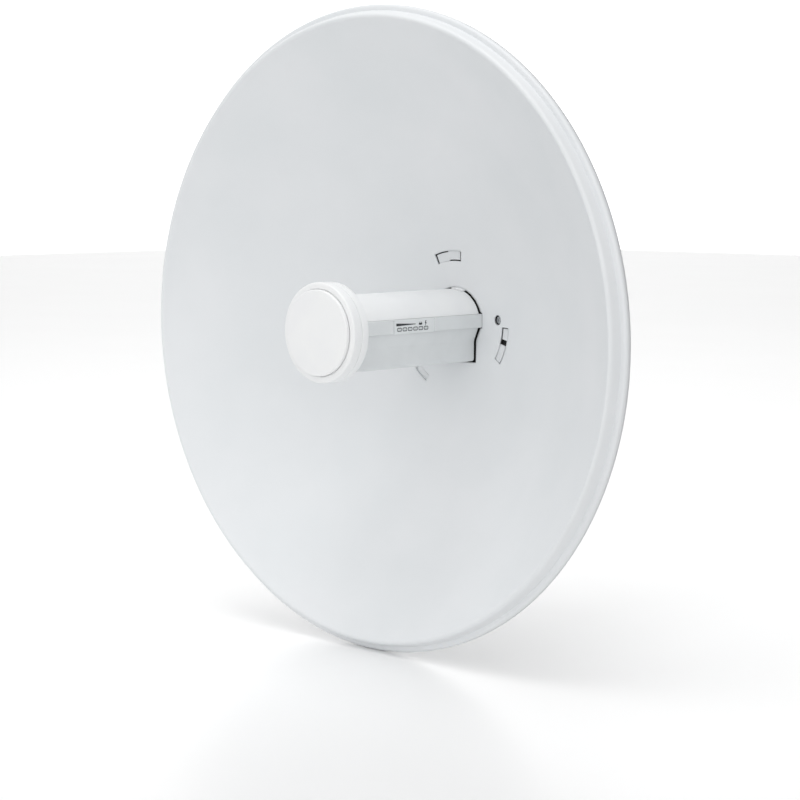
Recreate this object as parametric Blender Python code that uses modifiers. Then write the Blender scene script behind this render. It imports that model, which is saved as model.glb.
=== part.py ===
# Parabolic dish antenna with a central feed and a tilting pole bracket.
# Units are metres. The dish looks along -Y, +X is to the right and +Z is up.
# The origin lies on the flat rear face of the bracket that goes against the pole.

import math

import bmesh
import bpy
from mathutils import Matrix

# Distances along the feed axis are depths behind the plane of the rim's flat lip.
LIP_Y = -0.204
CLEARANCE = 0.0003
OVERCUT = 0.002

# The centre of the dish lies a little below the axis of the feed.
DISH_DROP = 0.0020
DISH_RADIUS = 0.210
DISH_SHEET = 0.0012
DISH_STEPS = 80
HUB_DEPTH = 0.0840
HUB_FLAT_RADIUS = 0.025
CREST_RADIUS = 0.2010
CREST_DEPTH = -0.0052
LIP_RADIUS = 0.2052
EDGE_CURL = 0.0030
BOWL_POINTS = 13
HUB_CUT_REACH = 0.006

CAP_RADIUS = 0.0321
CAP_PLATE_RADIUS = 0.0276
CAP_GROOVE_RADIUS = 0.0291
CAP_PLATE_FRONT = -0.0484
CAP_SHELL_FRONT = -0.0460
CAP_PLATE_SEAT = CAP_SHELL_FRONT + 0.0007
CAP_SEAM = -0.0390
CAP_REAR = -0.0325
CAP_COLLAR_REAR = -0.0292
CAP_COLLAR_RADIUS = 0.0262

BODY_FRONT = CAP_COLLAR_REAR + CLEARANCE
BODY_REAR = 0.0820
BODY_RADIUS = 0.0232
BAND_HALF_WIDTH = 0.0241
BAND_TOP = 0.0070
BAND_BOTTOM = -0.0023
BAND_SHEET = 0.0014
BAND_REAR = BODY_REAR + 0.0010
SHOULDER_HALF_WIDTH = 0.0216
KEEL_HALF_WIDTH = 0.0167
KEEL_TOP = -0.0113
KEEL_BOTTOM = -0.0254
KEEL_CORNER = 0.0025

LABEL_FRONT = -0.0018
LABEL_REAR = 0.0358
LABEL_SHEET = 0.0005
WINDOW_COUNT = 6
WINDOW_FIRST = 0.0030
WINDOW_PITCH = 0.0050
WINDOW_HEIGHT = 0.0025
WINDOW_LENGTH = 0.0042
WINDOW_CORNER = 0.0008
WINDOW_Z = 0.0006

CATCH_LEFT = -0.0025
CATCH_RIGHT = 0.0080
CATCH_FRONT = 0.0785
CATCH_REAR = HUB_DEPTH - 0.0004
CATCH_TOP = 0.0243

NECK_SHRINK = 0.0035
NECK_REAR = 0.1120
HOLE_GROWTH = 0.0010

FLANGE_RADIUS = 0.056
FLANGE_REAR = 0.0900
FLANGE_RINGS = 6
HOUSING_FRONT_RADIUS = 0.0500
HOUSING_BAND = 0.0120
HOUSING_REAR_RADIUS = 0.0480
HOUSING_REAR = 0.1235
COVER_RADIUS = 0.0435
COVER_REAR = 0.1275

DOOR_HALF_WIDTH = 0.0190
DOOR_FRONT = 0.0970
DOOR_REAR = 0.1190
DOOR_TOP = -0.0430
DOOR_CUT_BOTTOM = -0.0600
GLAND_LENGTH = 0.0130
GLAND_BORE = 0.0035
GLAND_STEPS = 20

# Each slot: its inner edge, its start and end, then the start and end of the raised hook in it.
BAYONETS = {
    "top": (0.0420, 82.0, 111.0, 84.0, 97.0),
    "right": (0.0425, -32.0, -1.5, -17.0, -12.0),
    "lower": (0.0442, -137.0, -122.0, -133.0, -126.0),
}
TAB_OUTER = 0.0490
TAB_PROUD = 0.0010
TAB_PLAY = 1.3
SCREW_X = 0.0388
SCREW_Z = 0.0035
SCREW_RADIUS = 0.0028
SCREW_HEAD = 0.0011
SCREW_HOLE_RADIUS = 0.0033
SCREW_FRONT = HUB_DEPTH - 0.0006

PLATE_SHEET = 0.003
TILT_BASE_HALF_WIDTH = 0.0335
TILT_BASE_HALF_HEIGHT = 0.0360
TILT_BASE_CORNER = 0.006
TILT_EAR_INNER = 0.0250
EAR_HALF_HEIGHT = 0.0300
EAR_CORNER = 0.014
TILT_EAR_REAR = 0.1750
MOUNT_EAR_FRONT = 0.1410
PIVOT_DEPTH = 0.1580
PIVOT_Z = -0.0140
LOCK_RADIUS = 0.0300
LOCK_SWEEP = 22.0
BASE_SCREW_X = 0.0170
BASE_SCREW_Z = 0.0290
BASE_SCREW_RADIUS = 0.0052
BASE_SCREW_HEIGHT = 0.0040
BOLT_RADIUS = 0.0038
BOLT_TAIL = 0.0040
BOLT_HOLE_RADIUS = 0.0042
NUT_RADIUS = 0.0075
NUT_HEIGHT = 0.0060
WASHER_RADIUS = 0.0090
WASHER_SHEET = 0.0015
JOIN = 0.0001
MOUNT_DEPTH = -LIP_Y
MOUNT_HALF_WIDTH = 0.0400
MOUNT_HALF_HEIGHT = 0.0500
MOUNT_CORNER = 0.008
STRAP_SLOT_X = 0.0350
STRAP_SLOT_Z = 0.0290
STRAP_SLOT_WIDTH = 0.0050
STRAP_SLOT_HEIGHT = 0.0240
STRAP_SLOT_CORNER = 0.0012

WHITE_PAINT = ("white_dish_paint", (0.80, 0.82, 0.83), 0.45, 0.0)
WHITE_PLASTIC = ("white_feed_plastic", (0.82, 0.83, 0.84), 0.35, 0.0)
GREY_BAND = ("pale_band_plastic", (0.70, 0.71, 0.71), 0.45, 0.0)
LABEL_FILM = ("label_film", (0.74, 0.75, 0.75), 0.30, 0.0)
LENS = ("indicator_lens", (0.55, 0.57, 0.57), 0.20, 0.0)
RUBBER = ("dark_rubber", (0.03, 0.03, 0.03), 0.80, 0.0)
DARK_SEAL = ("dark_neck_seal", (0.04, 0.04, 0.04), 0.70, 0.0)
ZINC = ("zinc_plated_steel", (0.60, 0.61, 0.62), 0.35, 1.0)
WHITE_STEEL = ("white_bracket_paint", (0.78, 0.80, 0.81), 0.50, 0.0)


def clear_scene():
    """Empty the file so that only this part is in it."""
    for old in list(bpy.data.objects):
        bpy.data.objects.remove(old, do_unlink=True)
    for old in list(bpy.data.collections):
        bpy.data.collections.remove(old)


def new_collection(name):
    """Make a collection under the scene's own."""
    made = bpy.data.collections.new(name)
    bpy.context.scene.collection.children.link(made)
    return made


def material(look):
    """Give the material of this name, made once."""
    name, colour, roughness, metallic = look
    if name in bpy.data.materials:
        return bpy.data.materials[name]
    made = bpy.data.materials.new(name)
    made.use_nodes = True
    shader = made.node_tree.nodes["Principled BSDF"]
    shader.inputs["Base Color"].default_value = (*colour, 1.0)
    shader.inputs["Roughness"].default_value = roughness
    shader.inputs["Metallic"].default_value = metallic
    made.diffuse_color = (*colour, 1.0)
    return made


def place(obj, look=None):
    """Put an object with the parts, or with the cutters when it has no look."""
    if look is None:
        CUTTERS.objects.link(obj)
        obj.hide_render = True
        obj.display_type = "WIRE"
        return obj
    PARTS.objects.link(obj)
    obj.data.materials.clear()
    obj.data.materials.append(material(look))
    return obj


def arc(radius, start, end, count, centre=(0.0, 0.0)):
    """Points on an arc, angles in degrees."""
    points = []
    for step in range(count + 1):
        angle = math.radians(start + (end - start) * step / count)
        points.append((centre[0] + radius * math.cos(angle), centre[1] + radius * math.sin(angle)))
    return points


def disc(radius, x, z, steps=24):
    """Outline of a round hole or pin."""
    return arc(radius, 0, 360 - 360 / steps, steps - 1, (x, z))


def rounded_rectangle(half_width, half_height, corner, centre=(0.0, 0.0), steps=3):
    """Outline of a rectangle with round corners."""
    x, z = half_width - corner, half_height - corner
    points = []
    for start, sx, sz in ((0, 1, 1), (90, -1, 1), (180, -1, -1), (270, 1, -1)):
        middle = (centre[0] + sx * x, centre[1] + sz * z)
        points += arc(corner, start, start + 90, steps, middle)
    return points


def sector(inner, outer, start, end, steps=5):
    """Outline of a piece of a ring."""
    return arc(outer, start, end, steps) + arc(inner, end, start, steps)


def extruded(name, outline, low, high, across=False, look=None):
    """A flat outline given thickness.

    The outline is in X and Z and runs along Y between two depths, or, across, it is in depth and Z
    and runs along X between two places.
    """
    curve = bpy.data.curves.new(name, "CURVE")
    curve.dimensions = "2D"
    curve.fill_mode = "BOTH"
    curve.extrude = (high - low) / 2
    spline = curve.splines.new("POLY")
    spline.points.add(len(outline) - 1)
    for point, (u, v) in zip(spline.points, outline):
        point.co = (u, v, 0.0, 1.0)
    spline.use_cyclic_u = True
    drawn = bpy.data.objects.new(name + "_outline", curve)
    if across:
        drawn.matrix_world = Matrix.Translation(((low + high) / 2, LIP_Y, 0)) @ Matrix(
            ((0, 0, 1, 0), (1, 0, 0, 0), (0, 1, 0, 0), (0, 0, 0, 1))
        )
    else:
        turn = Matrix.Rotation(math.radians(90), 4, "X")
        drawn.matrix_world = Matrix.Translation((0, LIP_Y + (low + high) / 2, 0)) @ turn
    return as_mesh(name, drawn, look)


def as_mesh(name, drawn, look):
    """Make a drawn curve a closed mesh object at the same place."""
    bpy.context.scene.collection.objects.link(drawn)
    bpy.context.view_layer.update()
    graph = bpy.context.evaluated_depsgraph_get()
    mesh = bpy.data.meshes.new_from_object(drawn.evaluated_get(graph))
    mesh.name = name
    matrix = drawn.matrix_world.copy()
    work = bmesh.new()
    work.from_mesh(mesh)
    bmesh.ops.remove_doubles(work, verts=work.verts, dist=0.00001)
    bmesh.ops.recalc_face_normals(work, faces=work.faces)
    work.to_mesh(mesh)
    work.free()
    bpy.data.objects.remove(drawn, do_unlink=True)
    made = bpy.data.objects.new(name, mesh)
    made.matrix_world = matrix
    return place(made, look)


def turned(name, profile, look=None, steps=48, drop=0.0):
    """A profile of radius and depth turned about the feed axis, or about a line below it.

    It runs along the outer side from the front to the back.
    """
    mesh = bpy.data.meshes.new(name)
    edges = [(i, i + 1) for i in range(len(profile) - 1)]
    mesh.from_pydata([(radius, 0.0, -depth) for radius, depth in profile], edges, [])
    made = bpy.data.objects.new(name, mesh)
    screw = made.modifiers.new("turn", "SCREW")
    screw.steps = steps
    screw.render_steps = steps
    screw.use_merge_vertices = True
    screw.merge_threshold = 0.00001
    made.location = (0.0, LIP_Y, -drop)
    made.rotation_euler = (math.radians(90), 0.0, 0.0)
    return place(made, look)


def bar(name, radius, low, high, depth, z, steps=16, look=None):
    """A round bar along X."""
    bpy.ops.mesh.primitive_cylinder_add(vertices=steps, radius=radius, depth=high - low)
    made = bpy.context.object
    for holder in list(made.users_collection):
        holder.objects.unlink(made)
    made.name = name
    made.data.name = name
    made.location = ((low + high) / 2, LIP_Y + depth, z)
    made.rotation_euler = (0.0, math.radians(90), 0.0)
    return place(made, look)


def boolean(target, tool, operation="DIFFERENCE"):
    """Cut one object by another, or join it to it."""
    step = target.modifiers.new(tool.name, "BOOLEAN")
    step.operation = operation
    step.solver = "EXACT"
    step.object = tool
    return target


def smooth(obj, angle=35):
    """Shade the round faces smooth."""
    obj.data.shade_smooth()
    obj.data.set_sharp_from_angle(angle=math.radians(angle))
    return obj


def bowl_depth(radius):
    """Depth of the dish's front surface at a radius: a parabola around a flat middle."""
    reach = max(0.0, radius - HUB_FLAT_RADIUS) / (CREST_RADIUS - HUB_FLAT_RADIUS)
    return HUB_DEPTH - (HUB_DEPTH - CREST_DEPTH) * reach**2


def body_outline(grow=0.0, notch=True):
    """Cross-section of the feed body, widened on all sides: half round above, a keel below."""
    radius = BODY_RADIUS + grow
    shoulder = SHOULDER_HALF_WIDTH + grow
    keel = KEEL_HALF_WIDTH + grow
    top = BAND_TOP + grow
    bottom = BAND_BOTTOM - grow
    start = math.degrees(math.asin(top / radius))
    half = [(keel, KEEL_BOTTOM - grow), (keel, KEEL_TOP), (shoulder, bottom)]
    if notch:
        half += [(BAND_HALF_WIDTH + grow, bottom), (BAND_HALF_WIDTH + grow, top)]
    right = half + arc(radius, start, 90.0, 8)
    left = [(-x, z) for x, z in reversed(right[:-1])]
    return right + left


def make_reflector():
    """The pressed dish: bowl, raised crest, flat lip and an edge curled back."""
    profile = [(0.010, HUB_DEPTH)]
    for step in range(BOWL_POINTS + 1):
        radius = HUB_FLAT_RADIUS + (CREST_RADIUS - HUB_FLAT_RADIUS) * step / BOWL_POINTS
        profile.append((radius, bowl_depth(radius)))
    profile += [
        (CREST_RADIUS + 0.0012, CREST_DEPTH - 0.0007),
        (CREST_RADIUS + 0.0028, CREST_DEPTH - 0.0003),
        (LIP_RADIUS - 0.0004, CREST_DEPTH + 0.0012),
        (LIP_RADIUS, -0.0004),
        (LIP_RADIUS + 0.0006, 0.0),
        (DISH_RADIUS - 0.0014, 0.0),
        (DISH_RADIUS - 0.0003, 0.0006),
        (DISH_RADIUS, 0.0016),
        (DISH_RADIUS, EDGE_CURL),
    ]
    dish = turned("reflector", profile, WHITE_PAINT, DISH_STEPS, DISH_DROP)
    sheet = dish.modifiers.new("sheet", "SOLIDIFY")
    sheet.thickness = DISH_SHEET
    sheet.offset = -1.0
    sheet.use_even_offset = True
    low, high = HUB_DEPTH - HUB_CUT_REACH, HUB_DEPTH + HUB_CUT_REACH
    boolean(dish, extruded("hub_hole", body_outline(HOLE_GROWTH), low, high))
    for name, (inner, start, end, _, _) in BAYONETS.items():
        boolean(dish, extruded("slot_" + name, sector(inner, TAB_OUTER, start, end), low, high))
    boolean(dish, extruded("screw_hole", disc(SCREW_HOLE_RADIUS, SCREW_X, SCREW_Z), low, high))
    smooth(dish)


def make_feed_cap():
    """The round front of the feed: plate, rounded shell, skirt behind the seam and rear collar."""
    seat = CAP_PLATE_SEAT
    plate = [
        (0.0, CAP_PLATE_FRONT),
        (CAP_PLATE_RADIUS - 0.0012, CAP_PLATE_FRONT),
        (CAP_PLATE_RADIUS - 0.0003, CAP_PLATE_FRONT + 0.0004),
        (CAP_PLATE_RADIUS, CAP_PLATE_FRONT + 0.0012),
        (CAP_PLATE_RADIUS, seat - CLEARANCE),
        (0.0, seat - CLEARANCE),
    ]
    smooth(turned("feed_cap_plate", plate, WHITE_PLASTIC))
    shell = [
        (0.0, seat),
        (CAP_GROOVE_RADIUS, seat),
        (CAP_GROOVE_RADIUS + 0.0002, CAP_SHELL_FRONT),
        (CAP_RADIUS - 0.0010, CAP_SHELL_FRONT),
        (CAP_RADIUS - 0.0003, CAP_SHELL_FRONT + 0.0003),
        (CAP_RADIUS, CAP_SHELL_FRONT + 0.0010),
        (CAP_RADIUS, CAP_SEAM - CLEARANCE / 2),
        (0.0, CAP_SEAM - CLEARANCE / 2),
    ]
    smooth(turned("feed_cap_shell", shell, WHITE_PLASTIC))
    skirt = [
        (0.0, CAP_SEAM + CLEARANCE / 2),
        (CAP_RADIUS, CAP_SEAM + CLEARANCE / 2),
        (CAP_RADIUS, CAP_REAR - 0.0010),
        (CAP_RADIUS - 0.0004, CAP_REAR - 0.0003),
        (CAP_RADIUS - 0.0010, CAP_REAR),
        (0.0, CAP_REAR),
    ]
    smooth(turned("feed_cap_skirt", skirt, WHITE_PLASTIC))
    collar = [
        (0.0, CAP_REAR + CLEARANCE),
        (CAP_RADIUS - 0.0012, CAP_REAR + CLEARANCE),
        (CAP_COLLAR_RADIUS, CAP_COLLAR_REAR),
        (0.0, CAP_COLLAR_REAR),
    ]
    smooth(turned("feed_cap_collar", collar, WHITE_PLASTIC))


def make_feed_body():
    """The feed's long covers, the core between them and the two side bands."""
    top = BAND_TOP + CLEARANCE / 2
    start = math.degrees(math.asin(top / BODY_RADIUS))
    cover = arc(BODY_RADIUS, start, 180 - start, 18)
    smooth(extruded("feed_top_cover", cover, BODY_FRONT, BODY_REAR, look=WHITE_PLASTIC))
    core_half = BAND_HALF_WIDTH - BAND_SHEET - CLEARANCE
    high, low = BAND_TOP - CLEARANCE / 2, BAND_BOTTOM + CLEARANCE / 2
    core = [(core_half, low), (core_half, high), (-core_half, high), (-core_half, low)]
    extruded("feed_core", core, BODY_FRONT, BODY_REAR, look=WHITE_PLASTIC)
    shoulder = BAND_BOTTOM - CLEARANCE / 2
    foot = arc(KEEL_CORNER, -90, 0, 3, (KEEL_HALF_WIDTH - KEEL_CORNER, KEEL_BOTTOM + KEEL_CORNER))
    right = foot + [(KEEL_HALF_WIDTH, KEEL_TOP), (SHOULDER_HALF_WIDTH, shoulder)]
    left = [(-x, z) for x, z in reversed(right)]
    extruded("feed_bottom_cover", right + left, BODY_FRONT, BODY_REAR, look=WHITE_PLASTIC)
    low, high = BAND_BOTTOM - OVERCUT, BAND_TOP + OVERCUT
    recess = sheet_outline(LABEL_FRONT - CLEARANCE, LABEL_REAR + CLEARANCE, low, high)
    for side, sign in (("right", 1), ("left", -1)):
        inner, outer = sorted((sign * (BAND_HALF_WIDTH - BAND_SHEET), sign * BAND_HALF_WIDTH))
        outline = sheet_outline(BODY_FRONT, BAND_REAR, BAND_BOTTOM, BAND_TOP)
        band = extruded("side_band_" + side, outline, inner, outer, across=True, look=GREY_BAND)
        if side == "right":
            seat = BAND_HALF_WIDTH - LABEL_SHEET - CLEARANCE
            boolean(band, extruded("label_recess", recess, seat, outer + OVERCUT, across=True))


def sheet_outline(front, rear, low, high):
    """Outline of a rectangle in depth and Z."""
    return [(front, low), (rear, low), (rear, high), (front, high)]


def make_indicator():
    """The label let into the right band, with its row of small windows."""
    outline = sheet_outline(LABEL_FRONT, LABEL_REAR, BAND_BOTTOM, BAND_TOP)
    inner, outer = BAND_HALF_WIDTH - LABEL_SHEET, BAND_HALF_WIDTH
    label = extruded("indicator_label", outline, inner, outer, across=True, look=LABEL_FILM)
    for number in range(WINDOW_COUNT):
        centre = (WINDOW_FIRST + WINDOW_PITCH * number, WINDOW_Z)
        half = (WINDOW_LENGTH / 2, WINDOW_HEIGHT / 2)
        name = f"indicator_window_{number + 1}"
        lens = rounded_rectangle(half[0], half[1], WINDOW_CORNER, centre, 2)
        extruded(name, lens, inner, outer, across=True, look=LENS)
        wide = (half[0] + CLEARANCE, half[1] + CLEARANCE)
        hole = rounded_rectangle(wide[0], wide[1], WINDOW_CORNER + CLEARANCE, centre, 2)
        boolean(label, extruded("cut_" + name, hole, inner - OVERCUT, outer + OVERCUT, across=True))


def make_neck():
    """The narrow end of the feed that goes through the dish, and the catch on top of the feed."""
    outline = body_outline(-NECK_SHRINK, notch=False)
    extruded("feed_neck", outline, BODY_REAR + CLEARANCE, NECK_REAR, look=DARK_SEAL)
    left, right = CATCH_LEFT, CATCH_RIGHT
    catch = [(left, 0.0), (right, 0.0), (right, CATCH_TOP), (left, CATCH_TOP)]
    tab = extruded("feed_catch", catch, CATCH_FRONT, CATCH_REAR, look=WHITE_PLASTIC)
    hollow = disc(BODY_RADIUS + CLEARANCE, 0.0, 0.0, 48)
    boolean(tab, extruded("catch_seat", hollow, CATCH_FRONT - OVERCUT, CATCH_REAR + OVERCUT))


def make_hub():
    """The flange behind the dish, its three bayonet hooks and the locking screw."""
    back_gap = DISH_SHEET + CLEARANCE
    front = []
    for step in range(FLANGE_RINGS + 1):
        share = step / FLANGE_RINGS
        radius = HUB_FLAT_RADIUS + (FLANGE_RADIUS - HUB_FLAT_RADIUS) * share
        front.append((radius, bowl_depth(radius) + back_gap + CLEARANCE * share))
    profile = [(0.0, HUB_DEPTH + back_gap)] + front
    profile += [(FLANGE_RADIUS, FLANGE_REAR - 0.001), (FLANGE_RADIUS - 0.001, FLANGE_REAR), (0.0, FLANGE_REAR)]
    flange = turned("hub_flange", profile, WHITE_PLASTIC, drop=DISH_DROP)
    low, high = HUB_DEPTH - HUB_CUT_REACH, FLANGE_REAR + HUB_CUT_REACH
    pass_through = body_outline(CLEARANCE - NECK_SHRINK, notch=False)
    boolean(flange, extruded("flange_hole", pass_through, low, high))
    smooth(flange)
    front = bowl_depth(TAB_OUTER)
    seat = front + DISH_SHEET
    for name, (inner, start, end, hook_start, hook_end) in BAYONETS.items():
        pad = sector(inner + CLEARANCE, TAB_OUTER - CLEARANCE, start + TAB_PLAY, end - TAB_PLAY)
        tab = extruded("bayonet_tab_" + name, pad, front, seat, look=WHITE_PLASTIC)
        hook = sector(inner + 0.0011, TAB_OUTER - 2 * CLEARANCE, hook_start, hook_end)
        boolean(tab, extruded("hook_" + name, hook, front - TAB_PROUD, seat - JOIN), "UNION")
    head = disc(SCREW_RADIUS, SCREW_X, SCREW_Z)
    extruded("locking_screw", head, SCREW_FRONT, SCREW_FRONT + SCREW_HEAD, look=ZINC)


def make_housing():
    """The drum behind the flange, its rear cover, the cable door below and the gland in the door."""
    front = FLANGE_REAR + CLEARANCE
    profile = [
        (0.0, front),
        (HOUSING_FRONT_RADIUS, front),
        (HOUSING_FRONT_RADIUS, front + HOUSING_BAND),
        (HOUSING_REAR_RADIUS, HOUSING_REAR - 0.004),
        (HOUSING_REAR_RADIUS - 0.0012, HOUSING_REAR - 0.0012),
        (HOUSING_REAR_RADIUS - 0.004, HOUSING_REAR),
        (0.0, HOUSING_REAR),
    ]
    drum = turned("rear_housing", profile, WHITE_PLASTIC)
    pocket = body_outline(CLEARANCE - NECK_SHRINK, notch=False)
    boolean(drum, extruded("neck_pocket", pocket, front - OVERCUT, NECK_REAR + CLEARANCE))
    low, high, half = DOOR_CUT_BOTTOM, DOOR_TOP, DOOR_HALF_WIDTH
    notch = [(-half, low), (half, low), (half, high), (-half, high)]
    boolean(drum, extruded("door_notch", notch, DOOR_FRONT, DOOR_REAR))
    smooth(drum)
    half = DOOR_HALF_WIDTH - CLEARANCE
    top = DOOR_TOP - CLEARANCE
    plate = [(-half, top - PLATE_SHEET), (half, top - PLATE_SHEET), (half, top), (-half, top)]
    extruded("cable_door", plate, DOOR_FRONT + CLEARANCE, DOOR_REAR - CLEARANCE, look=WHITE_PLASTIC)
    make_gland(top - PLATE_SHEET - CLEARANCE, (DOOR_FRONT + DOOR_REAR) / 2)
    cover = [
        (0.0, HOUSING_REAR + CLEARANCE),
        (COVER_RADIUS, HOUSING_REAR + CLEARANCE),
        (COVER_RADIUS, COVER_REAR - 0.0012),
        (COVER_RADIUS - 0.0012, COVER_REAR),
        (0.0, COVER_REAR),
    ]
    smooth(turned("rear_cover", cover, WHITE_PLASTIC))


def make_gland(top, depth):
    """The rubber gland under the door, hanging down, with a blind bore for the cable."""
    bottom = top - GLAND_LENGTH
    profile = [
        (0.0, top),
        (0.0085, top),
        (0.0085, top - 0.0025),
        (0.0066, top - 0.0035),
        (0.0060, bottom),
        (GLAND_BORE, bottom),
        (GLAND_BORE, top - 0.0015),
        (0.0, top - 0.0015),
    ]
    mesh = bpy.data.meshes.new("cable_gland")
    edges = [(i, i + 1) for i in range(len(profile) - 1)]
    mesh.from_pydata([(radius, 0.0, z) for radius, z in profile], edges, [])
    gland = bpy.data.objects.new("cable_gland", mesh)
    screw = gland.modifiers.new("turn", "SCREW")
    screw.steps = GLAND_STEPS
    screw.render_steps = GLAND_STEPS
    screw.use_merge_vertices = True
    screw.merge_threshold = 0.00001
    gland.location = (0.0, LIP_Y + depth, 0.0)
    smooth(place(gland, RUBBER))


def ear_outline(front, rear, round_rear):
    """Outline of an ear in depth and Z, with its free end rounded."""
    corner = EAR_CORNER
    tall = EAR_HALF_HEIGHT
    if round_rear:
        free = arc(corner, -90, 0, 4, (rear - corner, -tall + corner))
        free += arc(corner, 0, 90, 4, (rear - corner, tall - corner))
        return free + [(front, tall), (front, -tall)]
    free = arc(corner, 90, 180, 4, (front + corner, tall - corner))
    free += arc(corner, 180, 270, 4, (front + corner, -tall + corner))
    return free + [(rear, -tall), (rear, tall)]


def make_tilt_bracket():
    """The plate on the rear cover, its two ears with a curved slot each and its four screws."""
    low = COVER_REAR + CLEARANCE
    high = low + PLATE_SHEET
    base = rounded_rectangle(TILT_BASE_HALF_WIDTH, TILT_BASE_HALF_HEIGHT, TILT_BASE_CORNER)
    extruded("tilt_base", base, low, high, look=WHITE_STEEL)
    inner, outer = LOCK_RADIUS - BOLT_HOLE_RADIUS, LOCK_RADIUS + BOLT_HOLE_RADIUS
    sweep = sector(inner, outer, 90 - LOCK_SWEEP, 90 + LOCK_SWEEP)
    slot = [(PIVOT_DEPTH + u, PIVOT_Z + v) for u, v in sweep]
    for side, sign in (("right", 1), ("left", -1)):
        inner, outer = sorted((sign * TILT_EAR_INNER, sign * (TILT_EAR_INNER + PLATE_SHEET)))
        outline = ear_outline(high + CLEARANCE, TILT_EAR_REAR, True)
        ear = extruded("tilt_ear_" + side, outline, inner, outer, across=True, look=WHITE_STEEL)
        low_cut, high_cut = inner - OVERCUT, outer + OVERCUT
        boolean(ear, extruded("tilt_slot_" + side, slot, low_cut, high_cut, across=True))
        hole = bar("tilt_hole_" + side, BOLT_HOLE_RADIUS, low_cut, high_cut, PIVOT_DEPTH, PIVOT_Z)
        boolean(ear, hole)
    number = 0
    for sx in (-1, 1):
        for sz in (-1, 1):
            number += 1
            head = disc(BASE_SCREW_RADIUS, sx * BASE_SCREW_X, sz * BASE_SCREW_Z, 6)
            start = high + CLEARANCE
            extruded(f"bracket_screw_{number}", head, start, start + BASE_SCREW_HEIGHT, look=ZINC)


def make_pole_bracket():
    """The flat plate against the pole with its strap slots, and the two ears that stand on it."""
    low = MOUNT_DEPTH - PLATE_SHEET
    outline = rounded_rectangle(MOUNT_HALF_WIDTH, MOUNT_HALF_HEIGHT, MOUNT_CORNER)
    plate = extruded("pole_plate", outline, low, MOUNT_DEPTH, look=WHITE_STEEL)
    for sx in (-1, 1):
        for sz in (-1, 1):
            middle = (sx * STRAP_SLOT_X, sz * STRAP_SLOT_Z)
            half = (STRAP_SLOT_WIDTH / 2, STRAP_SLOT_HEIGHT / 2)
            hole = rounded_rectangle(half[0], half[1], STRAP_SLOT_CORNER, middle, 2)
            boolean(plate, extruded(f"strap_slot_{sx}_{sz}", hole, low - OVERCUT, MOUNT_DEPTH + OVERCUT))
    for side, sign in (("right", 1), ("left", -1)):
        start = TILT_EAR_INNER + PLATE_SHEET + CLEARANCE
        inner, outer = sorted((sign * start, sign * (start + PLATE_SHEET)))
        outline = ear_outline(MOUNT_EAR_FRONT, low - CLEARANCE, False)
        ear = extruded("pole_ear_" + side, outline, inner, outer, across=True, look=WHITE_STEEL)
        for name, z in (("pivot", PIVOT_Z), ("lock", PIVOT_Z + LOCK_RADIUS)):
            low_cut, high_cut = inner - OVERCUT, outer + OVERCUT
            boolean(ear, bar(f"{name}_hole_{side}", BOLT_HOLE_RADIUS, low_cut, high_cut, PIVOT_DEPTH, z))


def make_tilt_bolts():
    """The pivot bolt and the lock bolt across the ears, each with its washers and nut."""
    face = TILT_EAR_INNER + 2 * PLATE_SHEET + 2 * CLEARANCE
    head = face + WASHER_SHEET
    for name, z in (("pivot", PIVOT_Z), ("lock", PIVOT_Z + LOCK_RADIUS)):
        tail = -head - NUT_HEIGHT - BOLT_TAIL
        bolt = bar(name + "_bolt", BOLT_RADIUS, tail, head, PIVOT_DEPTH, z, 20, ZINC)
        washer = bar(name + "_head_washer", WASHER_RADIUS, face, head + JOIN, PIVOT_DEPTH, z, 20)
        cap = bar(name + "_head", NUT_RADIUS, head, head + NUT_HEIGHT, PIVOT_DEPTH, z, 6)
        boolean(bolt, washer, "UNION")
        boolean(bolt, cap, "UNION")
        nut = bar(name + "_nut", NUT_RADIUS, -head - NUT_HEIGHT, -head + JOIN, PIVOT_DEPTH, z, 6, ZINC)
        rim = bar(name + "_nut_washer", WASHER_RADIUS, -head, -face, PIVOT_DEPTH, z, 20)
        boolean(nut, rim, "UNION")
        bore = bar(name + "_nut_bore", BOLT_RADIUS + CLEARANCE, tail - OVERCUT, 0.0, PIVOT_DEPTH, z, 20)
        boolean(nut, bore)


clear_scene()
PARTS = new_collection("dish_antenna")
CUTTERS = new_collection("cutters")
make_reflector()
make_feed_cap()
make_feed_body()
make_indicator()
make_neck()
make_hub()
make_housing()
make_tilt_bracket()
make_pole_bracket()
make_tilt_bolts()
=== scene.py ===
import math

import bmesh
import bpy
import numpy as np
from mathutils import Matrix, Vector


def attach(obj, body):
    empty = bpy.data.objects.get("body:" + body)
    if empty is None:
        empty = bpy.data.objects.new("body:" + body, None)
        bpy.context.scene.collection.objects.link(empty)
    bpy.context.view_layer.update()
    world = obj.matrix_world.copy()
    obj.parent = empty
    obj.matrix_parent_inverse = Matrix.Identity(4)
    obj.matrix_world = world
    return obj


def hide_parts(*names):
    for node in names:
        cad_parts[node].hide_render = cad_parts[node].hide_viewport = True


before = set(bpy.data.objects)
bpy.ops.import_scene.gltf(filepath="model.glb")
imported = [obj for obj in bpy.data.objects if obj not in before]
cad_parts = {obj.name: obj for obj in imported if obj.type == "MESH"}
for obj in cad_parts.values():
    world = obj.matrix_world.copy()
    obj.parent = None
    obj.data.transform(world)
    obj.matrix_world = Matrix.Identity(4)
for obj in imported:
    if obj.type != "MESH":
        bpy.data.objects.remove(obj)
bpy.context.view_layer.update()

bpy.context.scene.view_settings.view_transform = "Standard"

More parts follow.
